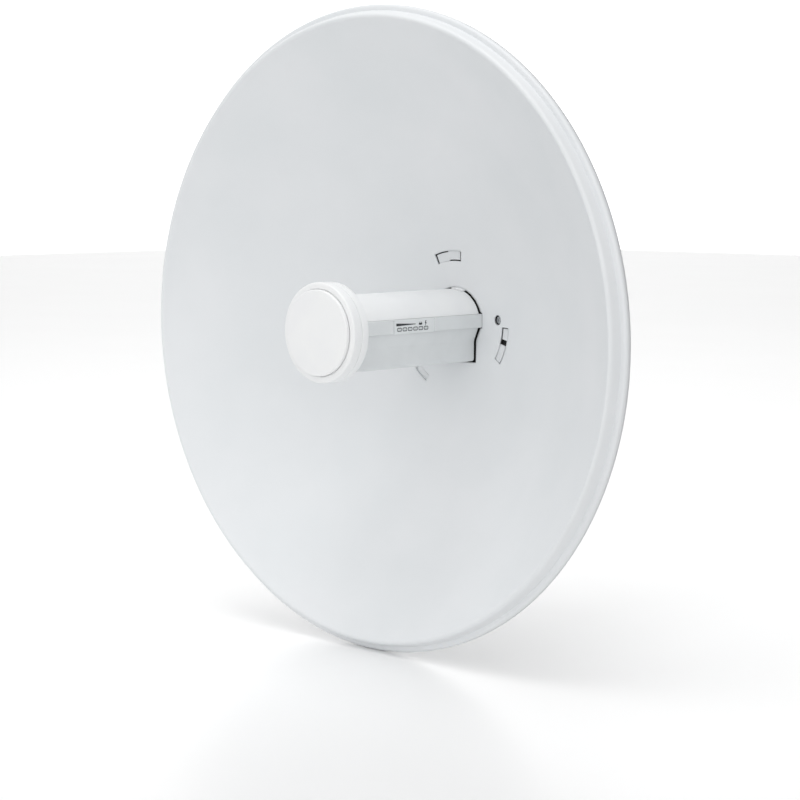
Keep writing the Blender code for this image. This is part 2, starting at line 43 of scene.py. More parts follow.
# The dish
# One aluminium disc, 1.2 mm thick, pressed to a parabola and powder coated white. The press leaves a raised
# crest near its edge, then a flat lip and an edge curled back, and its middle is punched for the feed, for
# three hook slots and for one screw.
LIP_Y = -0.204
DISH_DROP = 0.0020
DISH_SHEET = 0.0012
HUB_DEPTH = 0.0840
HUB_FLAT_RADIUS = 0.025
CREST_RADIUS = 0.2010
CREST_DEPTH = -0.0052
BLEND_START = 0.052
BLEND_END = 0.080
SCREW_PLACE = (0.0388, 0.0035)
SCREW_HOLE_RADIUS = 0.0033
HUB_HOLE = [
    (0.0190, -0.0264), (0.0191, -0.0113), (0.0226, -0.0029), (0.0243, -0.0029), (0.0243, 0.0074),
    (0.0227, 0.0084), (0.0214, 0.0113), (0.0185, 0.0156), (0.0142, 0.0196), (0.0098, 0.0221),
    (0.0050, 0.0237), (0.0, 0.0242),
]
HOOK_SLOTS = {"top": (0.0420, 82.0, 111.0), "right": (0.0425, -32.0, -1.5), "lower": (0.0442, -137.0, -122.0)}
SLOT_OUTER = 0.0490


def linear(code):
    """An sRGB hex value turned linear: c / 12.92 up to 0.04045, else ((c + 0.055) / 1.055) to the power 2.4."""
    part = np.array([int(code[at:at + 2], 16) / 255 for at in (0, 2, 4)])
    return (*np.where(part <= 0.04045, part / 12.92, ((part + 0.055) / 1.055) ** 2.4), 1.0)


def add(tree, kind, settings, links):
    """Add one node. Settings are its own fields; links are values or other sockets for its inputs."""
    node = tree.nodes.new(kind)
    for field, value in settings.items():
        setattr(node, field, value)
    for name, value in links.items():
        if isinstance(value, bpy.types.NodeSocket):
            tree.links.new(value, node.inputs[name])
        else:
            node.inputs[name].default_value = value
    return node


def new_material(name, roughness, ior, metallic=0.0):
    """An empty material with its uniform values set on the shader's own sockets."""
    made = bpy.data.materials.new(name)
    made.use_nodes = True
    shader = made.node_tree.nodes["Principled BSDF"]
    shader.inputs["Roughness"].default_value = roughness
    shader.inputs["Metallic"].default_value = metallic
    if ior:
        shader.inputs["IOR"].default_value = ior
    return made, made.node_tree, shader


def surface(name, grid, around=False, caps=False, skip=None):
    """A grid of points, rows by columns, made a mesh: four neighbours make a face.

    around joins the last column to the first. caps closes the first and last rows with one face each.
    skip marks the cells that are left out.
    """
    rows, columns = grid.shape[:2]
    number = np.arange(rows * columns).reshape(rows, columns)
    ring = np.hstack([number, number[:, :1]]) if around else number
    cells = np.stack([ring[:-1, :-1], ring[:-1, 1:], ring[1:, 1:], ring[1:, :-1]], -1)
    faces = cells.reshape(-1, 4) if skip is None else cells[~skip]
    corners, sizes = faces.ravel(), np.full(len(faces), 4)
    if caps:
        corners = np.concatenate([corners, number[0, ::-1], number[-1]])
        sizes = np.append(sizes, [columns, columns])
    mesh = bpy.data.meshes.new(name)
    mesh.vertices.add(rows * columns)
    mesh.vertices.foreach_set("co", np.ascontiguousarray(grid, dtype=np.float32).ravel())
    mesh.loops.add(len(corners))
    mesh.loops.foreach_set("vertex_index", corners.astype(np.int32))
    mesh.polygons.add(len(sizes))
    mesh.polygons.foreach_set("loop_start", (np.cumsum(sizes) - sizes).astype(np.int32))
    mesh.update(calc_edges=True)
    mesh.validate()
    obj = bpy.data.objects.new(name, mesh)
    bpy.context.scene.collection.objects.link(obj)
    return obj


def closed_up(obj):
    """Merge the doubled points of a closed shape and turn its faces outwards."""
    work = bmesh.new()
    work.from_mesh(obj.data)
    bmesh.ops.remove_doubles(work, verts=work.verts, dist=0.000002)
    bmesh.ops.recalc_face_normals(work, faces=work.faces)
    work.to_mesh(obj.data)
    work.free()
    return obj


def dress(obj, finish, nodes=(), edge=0.0, crease=35):
    """Give a piece its material, its rounded edges and its shading, hang it on the root and hide the parts it
    replaces.
    """
    obj.data.materials.clear()
    obj.data.materials.append(finish)
    obj.data.shade_smooth()
    if edge:
        step = obj.modifiers.new("edge", "BEVEL")
        step.width = edge
        step.segments = 3
        step.limit_method = "ANGLE"
        step.angle_limit = math.radians(crease)
        obj.modifiers.new("flats", "WEIGHTED_NORMAL")
    else:
        obj.data.set_sharp_from_angle(angle=math.radians(crease))
    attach(obj, "root")
    if nodes:
        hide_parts(*nodes)
    return obj


def rounded(corners, reach, steps=6, ring=False):
    """Corners P made round: (1-t)^2 A + 2t(1-t) P + t^2 B, with A and B on the two sides of P.

    A and B are reach from P, at most 0.49 of a side. The ends stay where the outline isn't a ring.
    """
    points = np.asarray(corners, float)
    sides = [np.roll(points, 1, 0) - points, np.roll(points, -1, 0) - points]
    ends = []
    for side in sides:
        length = np.linalg.norm(side, axis=1)
        ends.append(points + side * (np.minimum(reach, 0.49 * length) / length)[:, None])
    t = np.linspace(0, 1, steps + 1)[None, :, None]
    curve = (1 - t) ** 2 * ends[0][:, None] + 2 * t * (1 - t) * points[:, None] + t**2 * ends[1][:, None]
    if not ring:
        curve = curve[1:-1]
    line = curve.reshape(-1, 2)
    if not ring:
        line = np.vstack([points[:1], line, points[-1:]])
    keep = np.linalg.norm(line - np.roll(line, 1, 0), axis=1) > 0.000004
    return line[keep | (np.arange(len(line)) == 0)]


def outline_radius(outline, angles):
    """Distance from the axis to a closed outline along each angle.

    A side from a to b is met by the ray d where a + s(b - a) = r d, so r = cross(a, b - a) / cross(d, b - a).
    """
    a = np.asarray(outline, float)[:, None]
    side = np.roll(a, -1, 0) - a
    d = np.stack([np.cos(angles), np.sin(angles)], -1)[None]
    bottom = d[..., 0] * side[..., 1] - d[..., 1] * side[..., 0]
    bottom = np.where(np.abs(bottom) < 1e-12, 1e-12, bottom)
    r = (a[..., 0] * side[..., 1] - a[..., 1] * side[..., 0]) / bottom
    s = (a[..., 0] * d[..., 1] - a[..., 1] * d[..., 0]) / bottom
    return np.where((s > -1e-9) & (s < 1 + 1e-9) & (r > 0), r, 0).max(0)


def bowl_depth(radius):
    """Depth behind the lip at a distance from the dish's axis: flat, then a parabola up to the crest."""
    reach = np.maximum(0, radius - HUB_FLAT_RADIUS) / (CREST_RADIUS - HUB_FLAT_RADIUS)
    return HUB_DEPTH - (HUB_DEPTH - CREST_DEPTH) * reach**2


def dish_surface():
    """Polar grid from the hub hole to the curled edge: x = r cos t, z = r sin t - drop(r), y = lip + depth.

    Near the middle the rings follow the hub hole and the feed's axis, and further out the dish's own.
    The cells of the slots and of the screw hole are left out, and the points round the screw hole are
    moved to its circle.
    """
    hole = np.array(HUB_HOLE + [(-x, z) for x, z in HUB_HOLE[-2::-1]])
    marks = [math.radians(v) for slot in HOOK_SLOTS.values() for v in slot[1:]]
    t = np.concatenate([np.linspace(-math.pi, math.pi, 361)[:-1], np.arctan2(hole[:, 1], hole[:, 0]), marks])
    t = np.unique(np.round(t, 6))
    t = t[np.append(np.diff(t) > 0.0008, True) | np.isin(t, np.round(marks, 6))]
    near = np.concatenate([np.linspace(0.0345, 0.0420, 17), [0.0425, 0.0430, 0.0436, 0.0442, 0.0465, SLOT_OUTER]])
    far = np.concatenate([[0.0505, BLEND_START], np.linspace(0.056, 0.1998, 36)])
    rim = rounded(
        [(0.1999, bowl_depth(0.1999)), (0.2027, -0.0076), (0.2052, 0.0), (0.2088, 0.0), (0.2088, 0.0030)],
        np.array([0, 0.0028, 0.0010, 0.0011, 0]), 7,
    )[1:]
    inner = outline_radius(hole, t)
    share = np.linspace(0, 1, 9)[:-1, None]
    radius = np.vstack([inner + (near[0] - inner) * share, np.repeat(np.hstack([near, far])[:, None], len(t), 1)])
    drop = np.clip((radius - BLEND_START) / (BLEND_END - BLEND_START), 0, 1) * DISH_DROP
    x, z = radius * np.cos(t), radius * np.sin(t) - drop
    depth = bowl_depth(np.hypot(x, z + DISH_DROP))
    edge = rim[:, :1]
    x = np.vstack([x, edge * np.cos(t)])
    z = np.vstack([z, edge * np.sin(t) - DISH_DROP])
    depth = np.vstack([depth, np.repeat(rim[:, 1:], len(t), 1)])
    ring = np.vstack([radius, np.repeat(edge, len(t), 1)])
    middle_r = (ring[:-1] + ring[1:]) / 2
    following = np.append(t[1:], t[0] + 2 * math.pi)
    middle_t = (np.degrees((t + following) / 2) + 180) % 360 - 180
    skip = np.zeros(middle_r.shape, bool)
    for low, start, end in HOOK_SLOTS.values():
        skip |= (middle_r > low) & (middle_r < SLOT_OUTER) & (middle_t > start) & (middle_t < end)
    off_x, off_z = x - SCREW_PLACE[0], z - SCREW_PLACE[1]
    off = np.hypot(off_x, off_z)
    wrap = np.hstack([off, off[:, :1]])
    hit = (wrap[:-1, :-1] + wrap[1:, :-1] + wrap[:-1, 1:] + wrap[1:, 1:]) / 4 < SCREW_HOLE_RADIUS
    touched = np.zeros(x.shape, int)
    for row, column in ((0, 0), (1, 0), (0, 1), (1, 1)):
        placed = np.zeros(x.shape, int)
        placed[row:row + hit.shape[0]] = hit
        touched += np.roll(placed, column, 1)
    border = (touched > 0) & (touched < 4)
    push = np.where(border, SCREW_HOLE_RADIUS / np.maximum(off, 1e-9), 1.0)
    x, z = SCREW_PLACE[0] + off_x * push, SCREW_PLACE[1] + off_z * push
    grid = np.stack([x, LIP_Y + depth, z], -1)
    dish = surface("dish_pressing", grid, around=True, skip=skip | hit)
    sheet = dish.modifiers.new("sheet", "SOLIDIFY")
    sheet.thickness = DISH_SHEET
    sheet.offset = -1.0
    return dish


# Polyester powder coat, sprayed and baked: a satin white that shows a faint orange peel in its highlights.
# The peel is about 1 mm from crest to crest. It is drawn at 2.5 mm, as coarse as it needs to show.
dish_coat, tree, shader = new_material("baked_powder_coat_white", 0.42, 1.50)
place = add(tree, "ShaderNodeTexCoord", {}, {}).outputs["Object"]
cloud = add(tree, "ShaderNodeTexNoise", {}, {"Vector": place, "Scale": 14.0, "Detail": 3.0})
tint = add(tree, "ShaderNodeValToRGB", {}, {"Fac": cloud.outputs["Fac"]})
tint.color_ramp.elements[0].position, tint.color_ramp.elements[0].color = 0.3, linear("E3E6E8")
tint.color_ramp.elements[1].position, tint.color_ramp.elements[1].color = 0.7, linear("E8EAEC")
peel = add(tree, "ShaderNodeTexNoise", {}, {"Vector": place, "Scale": 400.0, "Detail": 2.0})
bump = add(tree, "ShaderNodeBump", {}, {"Height": peel.outputs["Fac"], "Strength": 0.08, "Distance": 0.0004})
grain = add(tree, "ShaderNodeTexNoise", {}, {"Vector": place, "Scale": 1800.0, "Detail": 1.0})
gloss = add(tree, "ShaderNodeMapRange", {}, {"Value": grain.outputs["Fac"], "To Min": 0.38, "To Max": 0.47})
tree.links.new(tint.outputs["Color"], shader.inputs["Base Color"])
tree.links.new(gloss.outputs["Result"], shader.inputs["Roughness"])
tree.links.new(bump.outputs["Normal"], shader.inputs["Normal"])
dress(dish_surface(), dish_coat, ["reflector"], crease=50)

# The feed's round cap
# A moulded disc snapped into a ring, with a groove round it, and a skirt behind a fine seam. A short collar
# narrows from the skirt to the feed. All are injection moulded in white ASA, a plastic that stands the sun.
CAP_RADIUS = 0.0321
CAP_PLATE_RADIUS = 0.0276


def spun(name, profile, centre=(0, LIP_Y, 0), axis="y", columns=128, shape=None):
    """A profile of (radius, height) turned about an axis: centre + h axis + r f(t, h) (cos t side + sin t up).

    f is 1 for a round piece, and shape gives its own factor for each row and column.
    """
    profile = np.asarray(profile, float)
    t = np.linspace(0, 2 * math.pi, columns, endpoint=False)
    vectors = {"x": ((1, 0, 0), (0, 1, 0), (0, 0, 1)), "y": ((0, 1, 0), (1, 0, 0), (0, 0, 1)),
               "z": ((0, 0, 1), (1, 0, 0), (0, 1, 0))}
    along, side, up = (np.array(v, float) for v in vectors[axis])
    r = profile[:, :1] * (1.0 if shape is None else shape(t, profile[:, 1:]))
    r = np.broadcast_to(r, (len(profile), columns))[..., None]
    round_it = np.cos(t)[:, None] * side + np.sin(t)[:, None] * up
    grid = np.array(centre, float) + profile[:, 1][:, None, None] * along + r * round_it
    return closed_up(surface(name, grid, around=True))


# Injection moulded ASA from a spark eroded tool: satin, slightly translucent, with a very fine even grain.
# The grain is about 0.15 mm. It is drawn at 0.6 mm, as coarse as it needs to show.
moulded_white, tree, shader = new_material("moulded_asa_white", 0.36, 1.52)
place = add(tree, "ShaderNodeTexCoord", {}, {}).outputs["Object"]
flow = add(tree, "ShaderNodeTexNoise", {}, {"Vector": place, "Scale": 45.0, "Detail": 2.0})
tint = add(tree, "ShaderNodeValToRGB", {}, {"Fac": flow.outputs["Fac"]})
tint.color_ramp.elements[0].position, tint.color_ramp.elements[0].color = 0.3, linear("F1F2F3")
tint.color_ramp.elements[1].position, tint.color_ramp.elements[1].color = 0.7, linear("F4F5F5")
grain = add(tree, "ShaderNodeTexNoise", {}, {"Vector": place, "Scale": 1600.0, "Detail": 2.0})
bump = add(tree, "ShaderNodeBump", {}, {"Height": grain.outputs["Fac"], "Strength": 0.10, "Distance": 0.0001})
gloss = add(tree, "ShaderNodeMapRange", {}, {"Value": grain.outputs["Fac"], "To Min": 0.32, "To Max": 0.42})
tree.links.new(tint.outputs["Color"], shader.inputs["Base Color"])
tree.links.new(gloss.outputs["Result"], shader.inputs["Roughness"])
tree.links.new(bump.outputs["Normal"], shader.inputs["Normal"])

disc = rounded(
    [(0, -0.0484), (CAP_PLATE_RADIUS, -0.0484), (CAP_PLATE_RADIUS, -0.0456), (0, -0.0456)],
    np.array([0, 0.0009, 0.0002, 0]), 6,
)
dress(spun("cap_disc", disc), moulded_white, ["feed_cap_plate"])
ring = rounded(
    [(0, -0.0453), (0.0279, -0.0453), (0.0281, -0.0460), (CAP_RADIUS, -0.0460), (CAP_RADIUS, -0.03915),
     (CAP_RADIUS - 0.0006, -0.03900), (0, -0.03900)],
    np.array([0, 0.0002, 0.0004, 0.0014, 0.0003, 0.0002, 0]), 6,
)
dress(spun("cap_front_ring", ring), moulded_white, ["feed_cap_shell"])
skirt = rounded(
    [(0, -0.0388), (CAP_RADIUS - 0.0006, -0.0388), (CAP_RADIUS, -0.0386), (CAP_RADIUS - 0.0002, -0.0325),
     (0, -0.0325)],
    np.array([0, 0.0002, 0.0003, 0.0012, 0]), 6,
)
dress(spun("cap_skirt", skirt), moulded_white, ["feed_cap_skirt"])
collar = rounded(
    [(0, -0.0322), (CAP_RADIUS - 0.0013, -0.0322), (0.0262, -0.0292), (0, -0.0292)],
    np.array([0, 0.0004, 0.0008, 0]), 6,
)
dress(spun("cap_collar", collar), moulded_white, ["feed_cap_collar"])

# The feed's body
# Two long moulded covers clipped to a core: the upper one half round, the lower one a keel with sloping
# shoulders. A flat band lies in a step along each side. The lower cover and the bands are coloured a pale
# grey, painted shade for faces turned down and aside from the light.
BODY_FRONT = -0.0289
BODY_REAR = 0.0820
BODY_RADIUS = 0.0232
BAND_HALF_WIDTH = 0.0241
BAND_TOP = 0.0070
BAND_BOTTOM = -0.0023
BAND_REAR = 0.0838


def prism(name, outline, low, high, axis="y"):
    """An outline carried straight: x and z along the depth, or for axis x, depth and z along x."""
    outline = np.asarray(outline, float)
    ends = np.array([low, high])[:, None]
    u, v = outline[None, :, 0], outline[None, :, 1]
    flat = np.zeros((2, len(outline)))
    if axis == "y":
        grid = np.stack([u + flat, LIP_Y + ends + flat, v + flat], -1)
    else:
        grid = np.stack([ends + flat, LIP_Y + u + flat, v + flat], -1)
    return closed_up(surface(name, grid, around=True, caps=True))


def mirrored(half):
    """An outline completed by its reflection in x = 0."""
    half = np.asarray(half, float)
    return np.vstack([half, half[::-1] * (-1, 1)])


start = math.asin((BAND_TOP + 0.00005) / BODY_RADIUS)
t = np.linspace(start, math.pi - start, 49)
upper = np.stack([BODY_RADIUS * np.cos(t), BODY_RADIUS * np.sin(t)], -1)
dress(prism("feed_upper_cover", upper, BODY_FRONT, BODY_REAR), moulded_white,
      ["feed_top_cover"], edge=0.00015, crease=30)


def keep(node, finish):
    """A CAD node whose shape is right keeps it, and takes this finish."""
    slots = bpy.data.objects[node].material_slots
    for one in slots:
        one.material = finish


keep("feed_core", moulded_white)

# Painted shade: moulded ASA coloured a pale grey for the shade on the lower cover and the bands, from a tool
# polished a little finer than the covers'.
moulded_white_painted_shade, tree, shader = new_material("moulded_asa_white_painted_shade", 0.34, 1.52)
place = add(tree, "ShaderNodeTexCoord", {}, {}).outputs["Object"]
flow = add(tree, "ShaderNodeTexNoise", {}, {"Vector": place, "Scale": 60.0, "Detail": 2.0})
tint = add(tree, "ShaderNodeValToRGB", {}, {"Fac": flow.outputs["Fac"]})
tint.color_ramp.elements[0].position, tint.color_ramp.elements[0].color = 0.3, linear("DCDFE0")
tint.color_ramp.elements[1].position, tint.color_ramp.elements[1].color = 0.7, linear("E1E4E5")
grain = add(tree, "ShaderNodeTexNoise", {}, {"Vector": place, "Scale": 1900.0, "Detail": 2.0})
bump = add(tree, "ShaderNodeBump", {}, {"Height": grain.outputs["Fac"], "Strength": 0.08, "Distance": 0.0001})
tree.links.new(tint.outputs["Color"], shader.inputs["Base Color"])
tree.links.new(bump.outputs["Normal"], shader.inputs["Normal"])
half = rounded(
    [(0, -0.0254), (0.0178, -0.0254), (0.0178, -0.0113), (0.0216, -0.00245), (0, -0.00245)],
    np.array([0, 0.0025, 0.0012, 0.0004, 0]), 5,
)
# The lower cover and the bands below take this pale grey as painted shade.
dress(prism("feed_lower_cover", mirrored(half[1:-1]), BODY_FRONT, BODY_REAR), moulded_white_painted_shade,
      ["feed_bottom_cover"], edge=0.0004, crease=30)
for side, sign in (("right", 1), ("left", -1)):
    faces = sorted((sign * (BAND_HALF_WIDTH - 0.0021), sign * BAND_HALF_WIDTH))
    length = [(BODY_FRONT, BAND_BOTTOM), (BAND_REAR, BAND_BOTTOM), (BAND_REAR, BAND_TOP),
              (BODY_FRONT, BAND_TOP)]
    if side == "right":
        faces[1] -= 0.0006
    dress(prism("band_" + side, length, *faces, axis="x"), moulded_white_painted_shade,
          ["side_band_" + side], edge=0.0005)
LABEL_FRONT = -0.0018
LABEL_REAR = 0.0358
for tag, low, high in (("front", BODY_FRONT, LABEL_FRONT - 0.0003), ("rear", LABEL_REAR + 0.0003, BAND_REAR)):
    length = [(low, BAND_BOTTOM), (high, BAND_BOTTOM), (high, BAND_TOP), (low, BAND_TOP)]
    dress(prism("band_right_" + tag, length, BAND_HALF_WIDTH - 0.0012, BAND_HALF_WIDTH, axis="x"), moulded_white_painted_shade,
          edge=0.0009)

# The indicator label
# A printed polycarbonate film let into the right band. It has a black wedge for rising strength, a plug and a
# bolt, all generic signs, and a row of six small framed windows with a light guide behind each.
WINDOW_FIRST = 0.0030
WINDOW_PITCH = 0.0050
WINDOW_Z = 0.0006
label_film, tree, shader = new_material("printed_polycarbonate_film", 0.28, 1.585)
place = add(tree, "ShaderNodeTexCoord", {}, {}).outputs["Object"]
flow = add(tree, "ShaderNodeTexNoise", {}, {"Vector": place, "Scale": 90.0, "Detail": 2.0})
tint = add(tree, "ShaderNodeValToRGB", {}, {"Fac": flow.outputs["Fac"]})
tint.color_ramp.elements[0].position, tint.color_ramp.elements[0].color = 0.3, linear("DFE2E3")
tint.color_ramp.elements[1].position, tint.color_ramp.elements[1].color = 0.7, linear("E3E6E7")
grain = add(tree, "ShaderNodeTexNoise", {}, {"Vector": place, "Scale": 2600.0, "Detail": 1.0})
bump = add(tree, "ShaderNodeBump", {}, {"Height": grain.outputs["Fac"], "Strength": 0.05, "Distance": 0.0001})
tree.links.new(tint.outputs["Color"], shader.inputs["Base Color"])
tree.links.new(bump.outputs["Normal"], shader.inputs["Normal"])
sheet = [(LABEL_FRONT, BAND_BOTTOM), (LABEL_REAR, BAND_BOTTOM), (LABEL_REAR, BAND_TOP), (LABEL_FRONT, BAND_TOP)]
face = BAND_HALF_WIDTH - 0.0001
dress(prism("label_sheet", rounded(sheet, 0.0004, 3, ring=True), face - 0.0005, face, axis="x"), label_film,
      ["indicator_label"])

# Screen printed black ink: matt, a few hundredths of a millimetre thick, and a little uneven in its cover.
ink, tree, shader = new_material("screen_printed_ink", 0.60, 1.48)
place = add(tree, "ShaderNodeTexCoord", {}, {}).outputs["Object"]
cover = add(tree, "ShaderNodeTexNoise", {}, {"Vector": place, "Scale": 3000.0, "Detail": 2.0})
tint = add(tree, "ShaderNodeValToRGB", {}, {"Fac": cover.outputs["Fac"]})
tint.color_ramp.elements[0].position, tint.color_ramp.elements[0].color = 0.35, linear("26292A")
tint.color_ramp.elements[1].position, tint.color_ramp.elements[1].color = 0.65, linear("3A3D3E")
tree.links.new(tint.outputs["Color"], shader.inputs["Base Color"])
wedge = [(0.0001, 0.0029), (0.0182, 0.0034), (0.0182, 0.0038), (0.0001, 0.0047)]
plug = [(0.0212, 0.0030), (0.0229, 0.0027), (0.0243, 0.0030), (0.0243, 0.0041), (0.0238, 0.0041), (0.0238, 0.0048),
        (0.0234, 0.0048), (0.0234, 0.0041), (0.0222, 0.0041), (0.0222, 0.0048), (0.0218, 0.0048), (0.0218, 0.0041),
        (0.0212, 0.0041)]
bolt = [(0.0276, 0.0056), (0.0268, 0.0037), (0.0275, 0.0037), (0.0272, 0.0018), (0.0286, 0.0042), (0.0278, 0.0042),
        (0.0283, 0.0056)]
for name, shape in (("wedge", wedge), ("plug", plug), ("bolt", bolt)):
    dress(prism("print_" + name, shape, face - 0.0001, face + 0.00005, axis="x"), ink)

# Clear lens over a grey light guide: a pale window in a darker printed frame.
lens, tree, shader = new_material("clear_polycarbonate_lens", 0.12, 1.585)
place = add(tree, "ShaderNodeTexCoord", {}, {}).outputs["Object"]
haze = add(tree, "ShaderNodeTexNoise", {}, {"Vector": place, "Scale": 700.0, "Detail": 2.0})
tint = add(tree, "ShaderNodeValToRGB", {}, {"Fac": haze.outputs["Fac"]})
tint.color_ramp.elements[0].position, tint.color_ramp.elements[0].color = 0.3, linear("C9CDCE")
tint.color_ramp.elements[1].position, tint.color_ramp.elements[1].color = 0.7, linear("D6D9DA")
tree.links.new(tint.outputs["Color"], shader.inputs["Base Color"])
frame_ink, tree, shader = new_material("screen_printed_grey_ink", 0.55, 1.48)
place = add(tree, "ShaderNodeTexCoord", {}, {}).outputs["Object"]
cover = add(tree, "ShaderNodeTexNoise", {}, {"Vector": place, "Scale": 3000.0, "Detail": 2.0})
tint = add(tree, "ShaderNodeValToRGB", {}, {"Fac": cover.outputs["Fac"]})
tint.color_ramp.elements[0].position, tint.color_ramp.elements[0].color = 0.35, linear("45494B")
tint.color_ramp.elements[1].position, tint.color_ramp.elements[1].color = 0.65, linear("54595B")
tree.links.new(tint.outputs["Color"], shader.inputs["Base Color"])


def frame_ring(name, outline, inner, low, high):
    """A flat ring along x between an outline and a smaller one: four rows joined round, in and out."""
    rows = [(outline, low), (outline, high), (inner, high), (inner, low), (outline, low)]
    grid = np.stack([np.stack([np.full(len(o), x), LIP_Y + o[:, 0], o[:, 1]], -1) for o, x in rows])
    return closed_up(surface(name, grid, around=True))


for number in range(6):
    middle = WINDOW_FIRST + WINDOW_PITCH * number
    box = np.array([(-0.0021, -0.00125), (0.0021, -0.00125), (0.0021, 0.00125), (-0.0021, 0.00125)])
    outer = rounded(box, 0.0009, 5, ring=True) + (middle, WINDOW_Z)
    inner = rounded(box - np.sign(box) * 0.0005, 0.0006, 5, ring=True) + (middle, WINDOW_Z)
    count = min(len(outer), len(inner))
    dress(frame_ring(f"window_frame_{number + 1}", outer[:count], inner[:count], face - 0.0001, face + 0.00005),
          frame_ink, [f"indicator_window_{number + 1}"])
    dress(prism(f"window_lens_{number + 1}", inner, face - 0.0001, face + 0.00003, axis="x"), lens)

# The catch and the neck
# A small raised lug on the end of the upper cover bridges the gap to the dish, and behind it the narrow neck
# goes through the hub hole. The neck and a collar filling the gap round it are near black, painted shade that
# keeps the gap dark.
t = np.linspace(math.radians(68), math.radians(90), 9)
lug = np.vstack([np.stack([0.0242 * np.cos(t), 0.0242 * np.sin(t)], -1),
                 np.stack([0.02325 * np.cos(t[::-1]), 0.02325 * np.sin(t[::-1])], -1)])
dress(prism("catch_lug", lug, 0.0785, HUB_DEPTH - 0.0004), moulded_white, ["feed_catch"],
      edge=0.0004, crease=30)
# Painted shade: a near black foam colour for the neck and the ring behind the slots, which stand where there is only
# shade.
painted_shade_black, tree, shader = new_material("black_painted_shade", 0.9, 1.45)
place = add(tree, "ShaderNodeTexCoord", {}, {}).outputs["Object"]
pores = add(tree, "ShaderNodeTexVoronoi", {}, {"Vector": place, "Scale": 1400.0})
tint = add(tree, "ShaderNodeValToRGB", {}, {"Fac": pores.outputs["Distance"]})
tint.color_ramp.elements[0].position, tint.color_ramp.elements[0].color = 0.1, linear("0D0E0E")
tint.color_ramp.elements[1].position, tint.color_ramp.elements[1].color = 0.7, linear("1C1D1E")
bump = add(tree, "ShaderNodeBump", {}, {"Height": pores.outputs["Distance"], "Strength": 0.3, "Distance": 0.0003})
tree.links.new(tint.outputs["Color"], shader.inputs["Base Color"])
tree.links.new(bump.outputs["Normal"], shader.inputs["Normal"])
# The neck and a collar out to the hole's edge, near black: painted shade in the gap round the neck.
t = np.linspace(-math.pi, math.pi, 181)[:-1]
arch = np.radians(np.linspace(90, 10.2, 12))
neck_half = [(0.0132, -0.0219), (0.0132, -0.0113), (0.0181, 0.0012)]
neck_half += [(0.0197 * math.cos(a), 0.0197 * math.sin(a)) for a in arch[::-1]]
neck = np.array(neck_half + [(-u, v) for u, v in neck_half[-2::-1]])
hole = np.array(HUB_HOLE + [(-u, v) for u, v in HUB_HOLE[-2::-1]])
inner, outer = outline_radius(neck, t), outline_radius(hole, t) - 0.0001
rows = [(inner * 0.0, 0.0823), (inner, 0.0823), (inner, 0.0845), (outer, 0.0845), (outer, 0.0854), (inner, 0.0854),
        (inner, 0.1120), (inner * 0.0, 0.1120)]
grid = np.stack([np.stack([r * np.cos(t), np.full(len(t), LIP_Y + depth), r * np.sin(t)], -1) for r, depth in rows])
dress(closed_up(surface("neck_seal", grid, around=True)), painted_shade_black, ["feed_neck"], crease=30)

# The hub behind the dish
# A moulded flange against the back of the dish carries three hooks, which reach through the slots and turn
# over the sheet, and one steel screw locks the dish from turning back.
moulded_hub, tree, shader = new_material("textured_asa_white", 0.50, 1.52)
place = add(tree, "ShaderNodeTexCoord", {}, {}).outputs["Object"]
flow = add(tree, "ShaderNodeTexNoise", {}, {"Vector": place, "Scale": 25.0, "Detail": 3.0})
tint = add(tree, "ShaderNodeValToRGB", {}, {"Fac": flow.outputs["Fac"]})
tint.color_ramp.elements[0].position, tint.color_ramp.elements[0].color = 0.3, linear("DEE1E3")
tint.color_ramp.elements[1].position, tint.color_ramp.elements[1].color = 0.7, linear("E4E6E8")
grain = add(tree, "ShaderNodeTexNoise", {}, {"Vector": place, "Scale": 1300.0, "Detail": 3.0})
bump = add(tree, "ShaderNodeBump", {}, {"Height": grain.outputs["Fac"], "Strength": 0.22, "Distance": 0.0002})
tree.links.new(tint.outputs["Color"], shader.inputs["Base Color"])
tree.links.new(bump.outputs["Normal"], shader.inputs["Normal"])
def refined(node, finish, edge, crease=35):
    """A copy of a CAD node with its points merged, its flat faces joined and its edges rounded."""
    source = bpy.data.objects[node]
    mesh = source.data.copy()
    mesh.transform(source.matrix_world)
    if "custom_normal" in mesh.attributes:
        mesh.attributes.remove(mesh.attributes["custom_normal"])
    work = bmesh.new()
    work.from_mesh(mesh)
    bmesh.ops.remove_doubles(work, verts=work.verts, dist=0.00001)
    bmesh.ops.dissolve_limit(work, angle_limit=math.radians(1), verts=work.verts, edges=work.edges)
    bmesh.ops.recalc_face_normals(work, faces=work.faces)
    work.to_mesh(mesh)
    work.free()
    obj = bpy.data.objects.new(node + "_finished", mesh)
    bpy.context.scene.collection.objects.link(obj)
    return dress(obj, finish, [node], edge=edge, crease=crease)


def bowl_sector(name, section, start, end, columns=32):
    """A section swept round the feed's axis: x = r cos t, z = r sin t, depth = the bowl's there plus its own."""
    section = np.asarray(section, float)
    t = np.radians(np.linspace(start, end, columns))[:, None]
    x, z = section[:, 0] * np.cos(t), section[:, 0] * np.sin(t)
    y = LIP_Y + bowl_depth(np.hypot(x, z + DISH_DROP)) + section[:, 1]
    return closed_up(surface(name, np.stack([x, y, z], -1), around=True, caps=True))


refined("hub_flange", moulded_hub, 0.0004)
for name, inner, outer, start, end, node in (
        ("hook_top", 0.0428, 0.04898, 84.3, 97.0, "top"), ("hook_right", 0.0432, 0.04898, -12.0, -2.5, "right"),
        ("hook_lower", 0.0449, 0.04898, -136.9, -122.1, "lower"), ("pad_top", 0.04202, 0.0482, 97.0, 109.8, None),
        ("pad_right", 0.04252, 0.0474, -31.9, -17.0, None), ("pad_right_outer", 0.0484, 0.04898, -31.9, -17.0, None)):
    section = [(inner, -0.0001), (outer, -0.0001), (outer, 0.0011), (inner, 0.0011)]
    dress(bowl_sector(name, rounded(section, 0.0001, 3, ring=True), start, end), moulded_hub,
          ["bayonet_tab_" + node] if node else (), crease=30)
